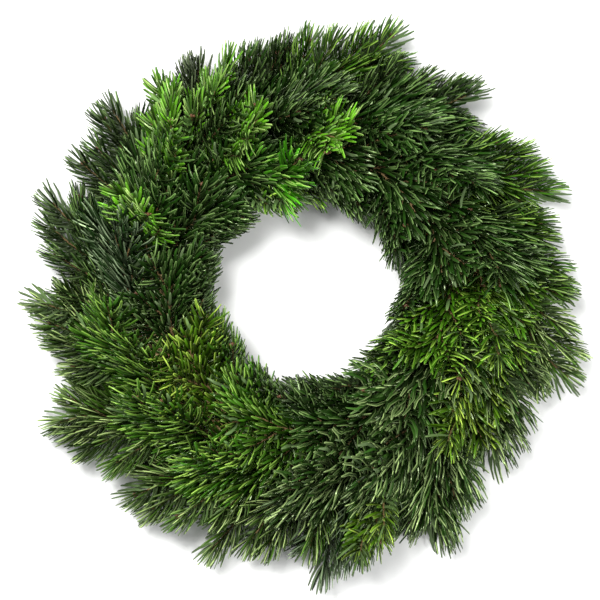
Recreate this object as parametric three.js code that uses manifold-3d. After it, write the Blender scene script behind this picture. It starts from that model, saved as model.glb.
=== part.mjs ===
// A fresh evergreen wreath: fir sprays bound with wire on a straw ring, lying on its flat back.
// Millimetres, +Z up. The origin is under the middle of the wreath, on the surface that it lies on.
// Angles are in degrees. A clock angle runs clockwise from twelve as the wreath is seen from above,
// which is also the way the sprays point. A section angle runs round the straw's own section: 0 looks
// away from the middle of the wreath, 90 up and 180 into its hole.

import * as THREE from "three";
import { mergeVertices } from "three/addons/utils/BufferGeometryUtils.js";
import Module from "manifold-3d";

// The straw ring has a round section with a flat back.
const RING_RADIUS = 122;
const STRAW_RADIUS = 17;
const STRAW_BACK_HALF_WIDTH = 10;
const STRAW_ROUND_STEPS = 8;
const STRAW_RING_STEPS = 40;

// A stem lies on the straw under the wire, and leaves it between two turns of the wire.
const STEM_RADIUS = 2;
const STEM_TIP_RADIUS = 1.6;
const STEM_SIDES = 3;
const SEAT_GAP = 0.6;
const BUTT_TURN = 5;
const LIFT_SHARE = 0.08;
const BARE_STEM_SHARE = 0.22;

// The binding wire winds round the straw and the stems, and bites into the flat back.
const WIRE_TURNS = 20;
const WIRE_RADIUS = 0.6;
const WIRE_GAP = 0.4;
const WIRE_ARC_STEPS = 6;
const WIRE_ARC_START = -20;
const WIRE_ARC_END = 200;
const WIRE_BACK_HEIGHT = 0.9;
const WIRE_BACK_HALF_WIDTH = 14;
const WIRE_GROOVE_RADIUS = 1.9;
const WIRE_END_GAP = 3;

// Each row of sprays is tied at one section angle. The reach is how far the tips stand from the middle
// of the straw's section, the swing turns them round the section on the way there, the sweep is the
// clock angle from the wire to the tips, and flare 1 is a straight rise. The roll turns the fan of side
// shoots from lying along the straw's surface to standing out from it. The tones have one letter for
// each spray of the row: dark, mid or bright green.
const ROWS = [
  { row: "outer_edge", section: 6, swing: -2, reach: 74, sweep: 36, flare: 1, roll: 64 },
  { row: "outer_crown", section: 54, swing: -8, reach: 62, sweep: 38, flare: 1.1, roll: 10 },
  { row: "inner_crown", section: 106, swing: 4, reach: 53, sweep: 46, flare: 1, roll: 0 },
  { row: "inner_edge", section: 156, swing: -8, reach: 48, sweep: 50, flare: 0.75, roll: -40 },
];
const ROW_TONES = ["dmdmmmdddmmmmddd", "ddddbbddmmmddd", "dddbddmbddd", "dddmddmddb"];
const ROW_STAGGER = 0.3;
const TIP_JITTER = 2;
const REACH_JITTER = 3;
const SWING_JITTER = 4;

// How much further than their row the tips of the outermost sprays reach, clockwise from the top. The
// photo's outline is so uneven.
const EDGE_REACHES = [-18, 6, -5, -3, -14, 8, -10, 14, 8, -2, 4, 15, -3, 8, -3, -17];

// The young sprigs are the short bright ones that were tucked in last, listed by where their tips are.
const YOUNG_SPRIGS = [
  { tip: 326, section: 80, swing: -42, reach: 86, sweep: 26 },
  { tip: 340, section: 30, swing: 20, reach: 86, sweep: 24 },
  { tip: 344, section: 80, swing: -2, reach: 73, sweep: 26 },
  { tip: 355, section: 131, swing: -14, reach: 72, sweep: 34 },
  { tip: 12, section: 80, swing: 12, reach: 67, sweep: 28 },
  { tip: 298, section: 80, swing: -14, reach: 74, sweep: 26 },
  { tip: 169, section: 30, swing: -12, reach: 92, sweep: 26 },
];
const YOUNG_FORM = { row: "young", flare: 1.2, roll: 20, tone: "b" };

// Needles stand in whorls round a shoot, one on each of its sides. Each whorl is turned a little from
// the last, and the needles lean more towards the tip the nearer they are to it.
const MAIN_WHORLS = 6;
const FIRST_WHORL_SHARE = 0.36;
const LAST_WHORL_SHARE = 0.97;
const WHORL_LENGTH = 2;
const WHORL_TURN = 40;
const NEEDLE_LENGTH = 25;
const YOUNG_NEEDLE_LENGTH = 19;
const NEEDLE_LENGTH_JITTER = 0.12;
const NEEDLE_RADIUS = 1.1;
const NEEDLE_LEAN_AT_FOOT = 56;
const NEEDLE_LEAN_AT_TIP = 30;
const NEEDLE_CROSSING_SHARE = 0.3;
const NEEDLE_ROLL_NUDGES = [0, 15, -15, 30, -30, 45, -45];
const NEEDLE_LEAN_SHARES = [1, 0.75, 0.55];
const END_NEEDLE_LENGTH = 15;

// A main shoot carries a side shoot on each side, in place of a needle. The tries are what is left to
// one that would touch another spray.
const SIDE_SHOOTS = [
  { whorl: 1, side: 1 },
  { whorl: 2, side: -1 },
];
const SIDE_SHOOT_LENGTH = 46;
const SIDE_SHOOT_SPREAD = 40;
const SIDE_SHOOT_RADIUS = 1.5;
const SIDE_WHORLS = 3;
const SIDE_SHOOT_TRIES = [
  { spreadShare: 1, lengthShare: 1 },
  { spreadShare: 0.75, lengthShare: 1 },
  { spreadShare: 1.3, lengthShare: 0.9 },
  { spreadShare: 1, lengthShare: 0.75 },
  { spreadShare: 0.7, lengthShare: 0.75 },
  { spreadShare: 1.2, lengthShare: 0.55 },
  { spreadShare: 0.75, lengthShare: 0.5 },
];
const MAIN_NUDGES = [0, 4, -4, 8, -8, 12, -12, 16, -16];

// What stays free of foliage.
const FLOOR_GAP = 0.5;
const CEILING = 105;
const HOLE_RADIUS = 55;
const CLEARANCE = 0.3;
const TESTED_SHARES = [0, 0.25, 0.5, 0.75, 1];
const FAR_APART = 60;
const MERGE_DISTANCE = 1e-4;

const STRAW_COLOUR = 0xb69a5c;
const WIRE_COLOUR = 0x2f4a35;
const NEEDLE_COLOURS = { d: 0x27452b, m: 0x3f6b2c, b: 0x6f9a35 };

const { degToRad, radToDeg, lerp } = THREE.MathUtils;
const STRAW_MIDDLE_HEIGHT = Math.sqrt(STRAW_RADIUS ** 2 - STRAW_BACK_HALF_WIDTH ** 2);
const STRAW_CORNER_SECTION = -radToDeg(Math.acos(STRAW_BACK_HALF_WIDTH / STRAW_RADIUS));
const STRAW_SECTION_STEP = (180 - 2 * STRAW_CORNER_SECTION) / STRAW_ROUND_STEPS;
const WIRE_PITCH = 360 / WIRE_TURNS;

const wasm = await Module();
wasm.setup();

// The same draws come out on every run.
let drawState = 2024;
function draw(low, high) {
  drawState = (drawState * 16807) % 2147483647;
  return lerp(low, high, drawState / 2147483647);
}

function outwardAt(clock, section) {
  const turn = degToRad(clock);
  const level = Math.cos(degToRad(section));
  return new THREE.Vector3(level * Math.sin(turn), level * Math.cos(turn), Math.sin(degToRad(section)));
}

function ringPoint(clock, section, distance) {
  const middle = outwardAt(clock, 0).multiplyScalar(RING_RADIUS).setZ(STRAW_MIDDLE_HEIGHT);
  return middle.addScaledVector(outwardAt(clock, section), distance);
}

// The straw's section is a polygon, so its surface lies nearer between two corners.
function strawDistance(section) {
  const fromCorner = (section - STRAW_CORNER_SECTION) % STRAW_SECTION_STEP;
  const half = STRAW_SECTION_STEP / 2;
  return (STRAW_RADIUS * Math.cos(degToRad(half))) / Math.cos(degToRad(fromCorner - half));
}

function bareGeometry(geometry) {
  geometry.deleteAttribute("normal");
  geometry.deleteAttribute("uv");
  return mergeVertices(geometry, MERGE_DISTANCE);
}

function toSolid(geometry) {
  const bare = bareGeometry(geometry);
  const vertProperties = new Float32Array(bare.attributes.position.array);
  const triVerts = new Uint32Array(bare.index.array);
  return new wasm.Manifold(new wasm.Mesh({ numProp: 3, vertProperties, triVerts }));
}

function toGeometry(solid) {
  const { numProp, vertProperties, triVerts } = solid.getMesh();
  const geometry = new THREE.BufferGeometry();
  const positions = new THREE.InterleavedBuffer(new Float32Array(vertProperties), numProp);
  geometry.setAttribute("position", new THREE.InterleavedBufferAttribute(positions, 3, 0));
  geometry.setIndex(new THREE.BufferAttribute(new Uint32Array(triVerts), 1));
  return geometry;
}

// A rod through a list of points, with one corner of its section turned to the given outward direction,
// or away from it where cornerTurn is 180.
function bentRod(points, outwards, radii, sides, cornerTurn = 0) {
  const steps = points.length - 1;
  const start = degToRad(90 + cornerTurn);
  const rod = new THREE.CylinderGeometry(1, 1, 1, sides, steps, false, start);
  const frames = points.map((point, i) => {
    const before = points[Math.max(i - 1, 0)];
    const after = points[Math.min(i + 1, steps)];
    const along = after.clone().sub(before).normalize();
    const across = outwards[i].clone().addScaledVector(along, -outwards[i].dot(along)).normalize();
    return { point, across, beside: along.clone().cross(across), radius: radii[i] };
  });
  const position = rod.attributes.position;
  for (let i = 0; i < position.count; i += 1) {
    const { point, across, beside, radius } = frames[Math.round((0.5 - position.getY(i)) * steps)];
    const moved = point.clone();
    moved.addScaledVector(across, position.getX(i) * radius);
    moved.addScaledVector(beside, position.getZ(i) * radius);
    position.setXYZ(i, moved.x, moved.y, moved.z);
  }
  return rod;
}

function makeStrawRing() {
  const profile = [];
  for (let i = 0; i <= STRAW_ROUND_STEPS; i += 1) {
    const section = degToRad(STRAW_CORNER_SECTION + i * STRAW_SECTION_STEP);
    const radius = RING_RADIUS + STRAW_RADIUS * Math.cos(section);
    profile.push(new THREE.Vector2(radius, STRAW_MIDDLE_HEIGHT + STRAW_RADIUS * Math.sin(section)));
  }
  profile.push(profile[0].clone());
  return new THREE.LatheGeometry(profile, STRAW_RING_STEPS).rotateX(Math.PI / 2);
}

function wireClock(turn, section) {
  return (turn + section / 360) * WIRE_PITCH;
}

// A turn of the wire stands off the straw by one stem, and its straight steps clear the stems too.
// Between two turns it runs straight across the back.
function wireTurn(turn) {
  const arcStep = (WIRE_ARC_END - WIRE_ARC_START) / WIRE_ARC_STEPS;
  const overStems = STRAW_RADIUS + SEAT_GAP + 2 * STEM_RADIUS + WIRE_GAP + WIRE_RADIUS;
  const arcDistance = overStems / Math.cos(degToRad(arcStep / 2));
  const backDrop = STRAW_MIDDLE_HEIGHT - WIRE_BACK_HEIGHT;
  const corner = { section: radToDeg(Math.atan2(backDrop, WIRE_BACK_HALF_WIDTH)) };
  corner.distance = Math.hypot(backDrop, WIRE_BACK_HALF_WIDTH);
  const places = [{ section: -corner.section, distance: corner.distance }];
  for (let i = 0; i <= WIRE_ARC_STEPS; i += 1) {
    places.push({ section: WIRE_ARC_START + i * arcStep, distance: arcDistance });
  }
  places.push({ section: 180 + corner.section, distance: corner.distance });
  return places.map(({ section, distance }) => {
    const clock = wireClock(turn, section);
    return { point: ringPoint(clock, section, distance), outward: outwardAt(clock, section) };
  });
}

// The wire's two ends lie near each other in the last groove.
function wirePath() {
  const places = [];
  for (let turn = 0; turn < WIRE_TURNS; turn += 1) places.push(...wireTurn(turn));
  const first = places[0];
  const last = places.at(-1);
  const back = new THREE.Line3(last.point, first.point);
  const down = new THREE.Vector3(0, 0, -1);
  const share = 0.5 + WIRE_END_GAP / 2 / back.distance();
  places.unshift({ point: back.at(share, new THREE.Vector3()), outward: down });
  places.push({ point: back.at(1 - share, new THREE.Vector3()), outward: down });
  return places;
}

function makeWire() {
  const places = wirePath();
  const radii = places.map(() => WIRE_RADIUS);
  return bentRod(places.map(({ point }) => point), places.map(({ outward }) => outward), radii, 3, 180);
}

// A groove runs straight across the back, from the end of one turn to the start of the next.
function makeGroove(turn) {
  const ends = [wireTurn(turn).at(-1).point, wireTurn(turn + 1)[0].point];
  const down = new THREE.Vector3(0, 0, -1);
  return bentRod(ends, [down, down], [WIRE_GROOVE_RADIUS, WIRE_GROOVE_RADIUS], 3, 180);
}

// A spray is tied where a turn of the wire crosses its row, so its sweep is fitted to where its tip is.
function tieSpray(name, tip, form) {
  const turn = Math.round((tip - form.sweep) / WIRE_PITCH - form.section / 360);
  const clock = wireClock(turn, form.section);
  return { ...form, name, clock, sweep: tip - clock };
}

function listSprays() {
  const sprays = [];
  ROWS.forEach((row, rowIndex) => {
    const tones = ROW_TONES[rowIndex];
    for (let i = 0; i < tones.length; i += 1) {
      const tip = ((i + rowIndex * ROW_STAGGER) * 360) / tones.length + draw(-TIP_JITTER, TIP_JITTER);
      const further = rowIndex === 0 ? EDGE_REACHES[i] : 0;
      const reach = row.reach + further + draw(-REACH_JITTER, REACH_JITTER);
      const swing = row.swing + draw(-SWING_JITTER, SWING_JITTER);
      const name = `${row.row}_spray_${String(i + 1).padStart(2, "0")}`;
      sprays.push(tieSpray(name, tip, { ...row, reach, swing, tone: tones[i] }));
    }
  });
  YOUNG_SPRIGS.forEach((sprig, i) => {
    sprays.push(tieSpray(`young_sprig_${i + 1}`, sprig.tip, { ...YOUNG_FORM, ...sprig }));
  });
  return sprays;
}

// A place on the main shoot, by its share of the way from the wire to the tip.
function shootPoint(spray, share) {
  const seat = strawDistance(spray.section) + SEAT_GAP + STEM_RADIUS;
  const rise = (Math.max(0, share - LIFT_SHARE) / (1 - LIFT_SHARE)) ** spray.flare;
  const section = spray.section + spray.swing * rise;
  return ringPoint(spray.clock + spray.sweep * share, section, lerp(seat, spray.reach, rise));
}

function shootOutward(spray, share) {
  return outwardAt(spray.clock + spray.sweep * share, spray.section + spray.swing * share);
}

// The places of the rings that a shoot's skin runs through: a whorl lies between its rear and its front.
function mainPlaces(spray) {
  const places = [-BUTT_TURN / spray.sweep, LIFT_SHARE, BARE_STEM_SHARE].map((share) => ({ share, roll: 0 }));
  const half = WHORL_LENGTH / 2 / shootPoint(spray, 1).distanceTo(shootPoint(spray, 0));
  for (let whorl = 0; whorl < MAIN_WHORLS; whorl += 1) {
    const share = lerp(FIRST_WHORL_SHARE, LAST_WHORL_SHARE, whorl / (MAIN_WHORLS - 1));
    const roll = (whorl + 1) * WHORL_TURN;
    places.push({ share: share - half, roll }, { share: share + half, roll, whorl });
  }
  return places;
}

function mainRing(spray, { share, roll }) {
  const middle = shootPoint(spray, share);
  const along = shootPoint(spray, share + 0.02).sub(shootPoint(spray, share - 0.02)).normalize();
  const outward = shootOutward(spray, share);
  outward.addScaledVector(along, -outward.dot(along)).normalize();
  const radius = lerp(STEM_RADIUS, STEM_TIP_RADIUS, Math.max(share, 0));
  const corners = [];
  for (let i = 0; i < STEM_SIDES; i += 1) {
    const angle = degToRad(180 + roll + (i * 360) / STEM_SIDES);
    corners.push(middle.clone().addScaledVector(outward.clone().applyAxisAngle(along, angle), radius));
  }
  return { middle, along, corners };
}

// Everything that stands is kept as straight rods, and what is added later is kept clear of them.
const standing = [];

function standRods(owner, points, radius) {
  for (let i = 1; i < points.length; i += 1) {
    standing.push({ owner, line: new THREE.Line3(points[i - 1], points[i]), radius, outer: null });
  }
}

function clearOfTheRest(point, radius) {
  const fromAxis = Math.hypot(point.x, point.y);
  const fromStraw = Math.hypot(fromAxis - RING_RADIUS, point.z - STRAW_MIDDLE_HEIGHT);
  if (point.z < FLOOR_GAP + radius || point.z > CEILING - radius) return false;
  if (fromAxis < HOLE_RADIUS + radius) return false;
  return fromStraw > STRAW_RADIUS + radius + CLEARANCE;
}

// Needles of one spray may meet near their roots, but their outer parts don't cross.
function rodIsClear(owner, line, radius, outer = null) {
  const isFree = TESTED_SHARES.every((share) => clearOfTheRest(line.at(share, new THREE.Vector3()), radius));
  return isFree && standing.every((other) => {
    if (other.line.start.distanceToSquared(line.start) > FAR_APART ** 2) return true;
    const isOwn = other.owner === owner;
    if (isOwn && !(outer && other.outer)) return true;
    const [mine, its] = isOwn ? [outer, other.outer] : [line, other.line];
    return mine.distanceSqToLine3(its) > (radius + other.radius + CLEARANCE) ** 2;
  });
}

function pathIsClear(owner, points, radius) {
  return points.slice(1).every((end, i) => rodIsClear(owner, new THREE.Line3(points[i], end), radius));
}

// A main shoot that would touch another one swings aside.
function standMainShoot(spray) {
  for (const nudge of MAIN_NUDGES) {
    const nudged = { ...spray, swing: spray.swing + nudge };
    const places = mainPlaces(nudged);
    const rings = places.map((place) => mainRing(nudged, place));
    const middles = rings.map(({ middle }) => middle);
    if (pathIsClear(spray.name, middles.slice(2), STEM_RADIUS)) {
      standRods(spray.name, middles, STEM_RADIUS);
      return { spray: nudged, places, rings, sideShoots: [] };
    }
  }
  throw new Error(`${spray.name} has no clear way out`);
}

// A whorl's face on one side of a shoot: four corners, two at its rear and two at its front.
function faceBetween(rear, front, side) {
  const next = (side + 1) % rear.corners.length;
  const corners = [rear.corners[side], rear.corners[next], front.corners[next], front.corners[side]];
  const middle = corners.reduce((sum, corner) => sum.add(corner), new THREE.Vector3()).divideScalar(4);
  const away = middle.clone().sub(rear.middle.clone().lerp(front.middle, 0.5)).normalize();
  const along = front.along.clone().addScaledVector(away, -front.along.dot(away)).normalize();
  return { corners, middle, away, along };
}

function leaningDirection({ along, away }, lean, roll) {
  const turned = away.clone().applyAxisAngle(along, degToRad(roll));
  const forward = along.clone().multiplyScalar(Math.cos(degToRad(lean)));
  return forward.addScaledVector(turned, Math.sin(degToRad(lean)));
}

// A side shoot grows out of the whorl's face that looks most to its own side of the fan.
function standSideShoot(plant, whorl, side) {
  const { spray, places, rings } = plant;
  const front = places.findIndex((place) => place.whorl === whorl);
  const outward = shootOutward(spray, places[front].share);
  const along = rings[front].along;
  const beside = outward.cross(along).normalize().applyAxisAngle(along, degToRad(-spray.roll));
  beside.multiplyScalar(side);
  const faces = rings[front].corners.map((_, i) => faceBetween(rings[front - 1], rings[front], i));
  const likeness = faces.map((face) => face.away.dot(beside));
  const faceIndex = likeness.indexOf(Math.max(...likeness));
  const face = faces[faceIndex];
  for (const { spreadShare, lengthShare } of SIDE_SHOOT_TRIES) {
    const spread = SIDE_SHOOT_SPREAD * spreadShare;
    const direction = leaningDirection({ along, away: beside }, spread, 0);
    const length = SIDE_SHOOT_LENGTH * lengthShare;
    const tip = face.middle.clone().addScaledVector(direction, length);
    if (pathIsClear(spray.name, [face.middle, tip], SIDE_SHOOT_RADIUS)) {
      standRods(spray.name, [face.middle, tip], SIDE_SHOOT_RADIUS);
      plant.sideShoots.push({ front, faceIndex, face, direction, length });
      return;
    }
  }
}

// A needle that would touch another piece turns round its shoot or lies closer to it, or isn't there.
function needleTip(owner, face, lean, length) {
  for (const leanShare of NEEDLE_LEAN_SHARES) {
    for (const roll of NEEDLE_ROLL_NUDGES) {
      const direction = leaningDirection(face, lean * leanShare, roll);
      const line = new THREE.Line3(face.middle, face.middle.clone().addScaledVector(direction, length));
      const outer = new THREE.Line3(line.at(NEEDLE_CROSSING_SHARE, new THREE.Vector3()), line.end);
      if (rodIsClear(owner, line, NEEDLE_RADIUS, outer)) {
        standing.push({ owner, line, radius: NEEDLE_RADIUS, outer });
        return line.end;
      }
    }
  }
  return null;
}

function addFace(skin, corners) {
  for (let i = 2; i < corners.length; i += 1) skin.push(corners[0], corners[i - 1], corners[i]);
}

function addSpike(skin, corners, tip) {
  corners.forEach((corner, i) => skin.push(corner, corners[(i + 1) % corners.length], tip));
}

// A whorl has a needle on each face, apart from a face that a side shoot grows out of.
function addWhorl(skin, spray, rear, front, tipShare, takenFace = -1) {
  front.corners.forEach((_, i) => {
    if (i === takenFace) return;
    const face = faceBetween(rear, front, i);
    const lean = lerp(NEEDLE_LEAN_AT_FOOT, NEEDLE_LEAN_AT_TIP, tipShare);
    const fullLength = spray.row === YOUNG_FORM.row ? YOUNG_NEEDLE_LENGTH : NEEDLE_LENGTH;
    const length = fullLength * draw(1 - NEEDLE_LENGTH_JITTER, 1 + NEEDLE_LENGTH_JITTER);
    const tip = needleTip(spray.name, face, lean, length);
    if (tip) addSpike(skin, face.corners, tip);
    else addFace(skin, face.corners);
  });
}

function addStretch(skin, rear, front) {
  front.corners.forEach((_, i) => addFace(skin, faceBetween(rear, front, i).corners));
}

// A shoot ends in a needle that goes straight on.
function addShootEnd(skin, owner, ring) {
  const tip = ring.middle.clone().addScaledVector(ring.along, END_NEEDLE_LENGTH);
  if (rodIsClear(owner, new THREE.Line3(ring.middle, tip), NEEDLE_RADIUS)) {
    standRods(owner, [ring.middle, tip], NEEDLE_RADIUS);
    addSpike(skin, ring.corners, tip);
  } else {
    addFace(skin, ring.corners);
  }
}

function addSideShoot(skin, spray, { face, direction, length }) {
  const across = face.corners[1].clone().sub(face.corners[0]).normalize();
  const forward = direction.clone().cross(across).normalize();
  const sideways = forward.clone().cross(direction);
  const ringAt = (distance) => {
    const middle = face.middle.clone().addScaledVector(direction, distance);
    const reach = SIDE_SHOOT_RADIUS / Math.SQRT2;
    const corners = [[-1, -1], [1, -1], [1, 1], [-1, 1]].map(([right, up]) => {
      return middle.clone().addScaledVector(sideways, right * reach).addScaledVector(forward, up * reach);
    });
    return { middle, along: direction, corners };
  };
  let last = { middle: face.middle, along: direction, corners: face.corners };
  for (let whorl = 1; whorl <= SIDE_WHORLS; whorl += 1) {
    const tipShare = whorl / SIDE_WHORLS;
    const rear = ringAt(length * tipShare - WHORL_LENGTH);
    const front = ringAt(length * tipShare);
    addStretch(skin, last, rear);
    addWhorl(skin, spray, rear, front, tipShare);
    last = front;
  }
  addShootEnd(skin, spray.name, last);
}

function makeSpray({ spray, places, rings, sideShoots }) {
  const skin = [];
  addFace(skin, rings[0].corners.toReversed());
  for (let i = 1; i < rings.length; i += 1) {
    if (places[i].whorl === undefined) {
      addStretch(skin, rings[i - 1], rings[i]);
    } else {
      const sideShoot = sideShoots.find(({ front }) => front === i);
      const tipShare = places[i].whorl / (MAIN_WHORLS - 1);
      addWhorl(skin, spray, rings[i - 1], rings[i], tipShare, sideShoot?.faceIndex);
    }
  }
  addShootEnd(skin, spray.name, rings.at(-1));
  sideShoots.forEach((sideShoot) => addSideShoot(skin, spray, sideShoot));
  return mergeVertices(new THREE.BufferGeometry().setFromPoints(skin), MERGE_DISTANCE);
}

const wreath = new THREE.Group();

function addPiece(name, geometry, color, roughness) {
  const mesh = new THREE.Mesh(geometry, new THREE.MeshStandardMaterial({ color, roughness, metalness: 0 }));
  mesh.name = name;
  wreath.add(mesh);
}

let straw = toSolid(makeStrawRing());
for (let turn = 0; turn < WIRE_TURNS; turn += 1) straw = straw.subtract(toSolid(makeGroove(turn)));
addPiece("straw_ring", toGeometry(straw), STRAW_COLOUR, 0.9);
addPiece("binding_wire", bareGeometry(makeWire()), WIRE_COLOUR, 0.45);
standRods("binding_wire", wirePath().map(({ point }) => point), WIRE_RADIUS);

const grown = listSprays().map(standMainShoot);
for (const { whorl, side } of SIDE_SHOOTS) {
  for (const plant of grown) standSideShoot(plant, whorl, side);
}
for (const plant of grown) {
  addPiece(plant.spray.name, makeSpray(plant), NEEDLE_COLOURS[plant.spray.tone], 0.6);
}

// The wreath's own box is set over the origin.
const box = new THREE.Box3().setFromObject(wreath);
const middle = box.getCenter(new THREE.Vector3());
wreath.position.set(-middle.x, -middle.y, -box.min.z);
wreath.updateMatrixWorld(true);

export default wreath;
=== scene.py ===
# A fresh evergreen wreath: fir sprays bound with wire on a straw ring, lying on its flat back and
# seen from straight above. Metres, in the frame of the CAD model: +Z is up out of the wreath's face
# and +Y points to its top as it hangs.

import random
from math import atan2, cos, degrees, floor, hypot, radians, sin, sqrt, tau

import bmesh
import bpy
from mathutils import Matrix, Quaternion, Vector


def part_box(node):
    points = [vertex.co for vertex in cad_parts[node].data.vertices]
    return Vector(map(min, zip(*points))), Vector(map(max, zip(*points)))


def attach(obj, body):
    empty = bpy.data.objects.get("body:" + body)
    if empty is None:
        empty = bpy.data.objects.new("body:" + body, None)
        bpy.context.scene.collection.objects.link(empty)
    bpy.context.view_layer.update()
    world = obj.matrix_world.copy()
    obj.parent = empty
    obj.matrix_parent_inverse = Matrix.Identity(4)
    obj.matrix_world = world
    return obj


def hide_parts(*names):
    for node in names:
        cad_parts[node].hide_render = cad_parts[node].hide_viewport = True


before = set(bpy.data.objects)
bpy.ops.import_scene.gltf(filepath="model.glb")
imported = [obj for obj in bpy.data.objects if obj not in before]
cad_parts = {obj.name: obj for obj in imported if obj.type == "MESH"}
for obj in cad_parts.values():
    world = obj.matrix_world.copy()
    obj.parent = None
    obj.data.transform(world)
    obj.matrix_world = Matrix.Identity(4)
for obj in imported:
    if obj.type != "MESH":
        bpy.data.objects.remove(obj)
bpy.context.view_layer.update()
MM = 0.001

# The studio: a camera straight above the middle, as the photograph was taken, a pale table, a soft
# key light from the upper left, and three weaker lights and a dim world that fill the shadows.
PHOTO_WIDTH = 480 * MM
PHOTO_MIDDLE = (-6.8 * MM, -3.6 * MM)
CAMERA_LENS = 100
SENSOR_WIDTH = 36
PHOTO_PLANE_HEIGHT = 45 * MM
TABLE_WIDTH = 8
TABLE_COLOUR = (0.86, 0.86, 0.85, 1)
TABLE_ROUGHNESS = 0.7
WORLD_COLOUR = (0.93, 0.96, 1, 1)
WORLD_STRENGTH = 0.2
SOFT_LIGHTS = [
    {"name": "key_light", "at": (-0.35, 0.45, 1.4), "width": 0.5, "watts": 33},
    {"name": "overhead_light", "at": (0.1, 0, 1.7), "width": 2, "watts": 8},
    {"name": "left_light", "at": (-1.0, 0.7, 1.1), "width": 0.35, "watts": 4},
    {"name": "right_light", "at": (1.1, -0.6, 1), "width": 0.35, "watts": 14},
]


def link_object(name, data):
    piece = bpy.data.objects.new(name, data)
    bpy.context.scene.collection.objects.link(piece)
    return piece


camera = link_object("camera", bpy.data.cameras.new("camera"))
camera.data.lens = CAMERA_LENS
camera.data.sensor_width = SENSOR_WIDTH
camera.location = (*PHOTO_MIDDLE, PHOTO_PLANE_HEIGHT + PHOTO_WIDTH * CAMERA_LENS / SENSOR_WIDTH)
bpy.context.scene.camera = camera
bpy.context.scene.view_settings.view_transform = "Standard"

half = TABLE_WIDTH / 2
table = link_object("table", bpy.data.meshes.new("table"))
corners = [(-half, -half, 0), (half, -half, 0), (half, half, 0), (-half, half, 0)]
table.data.from_pydata(corners, [], [(0, 1, 2, 3)])
table_finish = bpy.data.materials.new("pale_table")
table_finish.use_nodes = True
table_shader = table_finish.node_tree.nodes["Principled BSDF"]
table_shader.inputs["Base Color"].default_value = TABLE_COLOUR
table_shader.inputs["Roughness"].default_value = TABLE_ROUGHNESS
table.data.materials.append(table_finish)

for light in SOFT_LIGHTS:
    lamp = link_object(light["name"], bpy.data.lights.new(light["name"], "AREA"))
    lamp.data.size = light["width"]
    lamp.data.energy = light["watts"]
    lamp.location = light["at"]
    lamp.rotation_euler = (-Vector(light["at"])).to_track_quat("-Z", "Y").to_euler()

world = bpy.data.worlds.new("studio")
world.use_nodes = True
backdrop = world.node_tree.nodes["Background"]
backdrop.inputs["Color"].default_value = WORLD_COLOUR
backdrop.inputs["Strength"].default_value = WORLD_STRENGTH
bpy.context.scene.world = world

# The straw ring: a bundle of dry wheat straw bent into a ring of round section with a flattened back.
# The straws are laid along the ring over a packed core, and the wire presses them in at the back.
RING_RADIUS = 122 * MM
STRAW_RADIUS = 17 * MM
STRAW_BACK_HALF_WIDTH = 10 * MM
STRAW_MIDDLE_HEIGHT = sqrt(STRAW_RADIUS**2 - STRAW_BACK_HALF_WIDTH**2)
CORE_DEPTH = 3.2 * MM
CORE_RING_STEPS = 120
CORE_SECTION_STEPS = 20
WIRE_TURNS = 20
WIRE_PITCH = 360 / WIRE_TURNS
STRAW_STEPS = 18
STRAW_SIDES = 5
STRAW_ARC_DRAWS = (0.6, 1.3)
STRAW_DRIFT = 0.25
STRAW_DEPTH_DRAWS = (0.56, 1.3)
LEAST_DOWNWARD = 0.01
PRESS_WIDTH = 0.09
PRESS_FADE = 5
STRAW_PALE = (0.66, 0.5, 0.24, 1)
STRAW_TAN = (0.4, 0.27, 0.1, 1)
STRAW_ROUGHNESS = 0.62
low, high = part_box("straw_ring")
ring_middle = Vector(((low.x + high.x) / 2, (low.y + high.y) / 2, STRAW_MIDDLE_HEIGHT))


class Socket:
    """An output of a node. Arithmetic on it adds Math nodes, or Vector Math nodes for a vector."""

    def __init__(self, tree, source=None):
        self.tree = tree
        self.source = source

    def node(self, kind, settings=None, sockets=None, output=0):
        """Adds any other node and gives one of its outputs."""
        node = self.tree.nodes.new(kind)
        for name, value in (settings or {}).items():
            setattr(node, name, value)
        for key, value in (sockets or {}).items():
            for link in value if isinstance(value, list) else [value]:
                if isinstance(link, Socket):
                    self.tree.links.new(link.source, node.inputs[key])
                else:
                    node.inputs[key].default_value = link
        return Socket(self.tree, node.outputs[output]) if node.outputs else None

    def sibling(self, output):
        """Another output of the same node."""
        return Socket(self.tree, self.source.node.outputs[output])

    def math(self, operation, *values):
        sockets = dict(enumerate((self, *values)))
        return self.node("ShaderNodeMath", {"operation": operation}, sockets)

    def vector(self, operation, *values, output=0):
        sockets = dict(enumerate((self, *values)))
        return self.node("ShaderNodeVectorMath", {"operation": operation}, sockets, output)

    def arithmetic(self, operation, other):
        is_vector = self.source.type == "VECTOR"
        return self.vector(operation, other) if is_vector else self.math(operation, other)

    def __add__(self, other):
        return self.arithmetic("ADD", other)

    def __radd__(self, other):
        return self.arithmetic("ADD", other)

    def __sub__(self, other):
        return self.arithmetic("SUBTRACT", other)

    def __rsub__(self, other):
        return self * -1 + other

    def __mul__(self, other):
        if self.source.type == "VECTOR":
            return self.node("ShaderNodeVectorMath", {"operation": "SCALE"}, {0: self, 3: other})
        return self.math("MULTIPLY", other)

    def __rmul__(self, other):
        return self * other

    def __truediv__(self, other):
        return self.math("DIVIDE", other)

    def __rtruediv__(self, other):
        return self.node("ShaderNodeMath", {"operation": "DIVIDE"}, {0: other, 1: self})

    def __pow__(self, other):
        return self.math("POWER", other)

    def __rpow__(self, other):
        return self.node("ShaderNodeMath", {"operation": "POWER"}, {0: other, 1: self})


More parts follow.
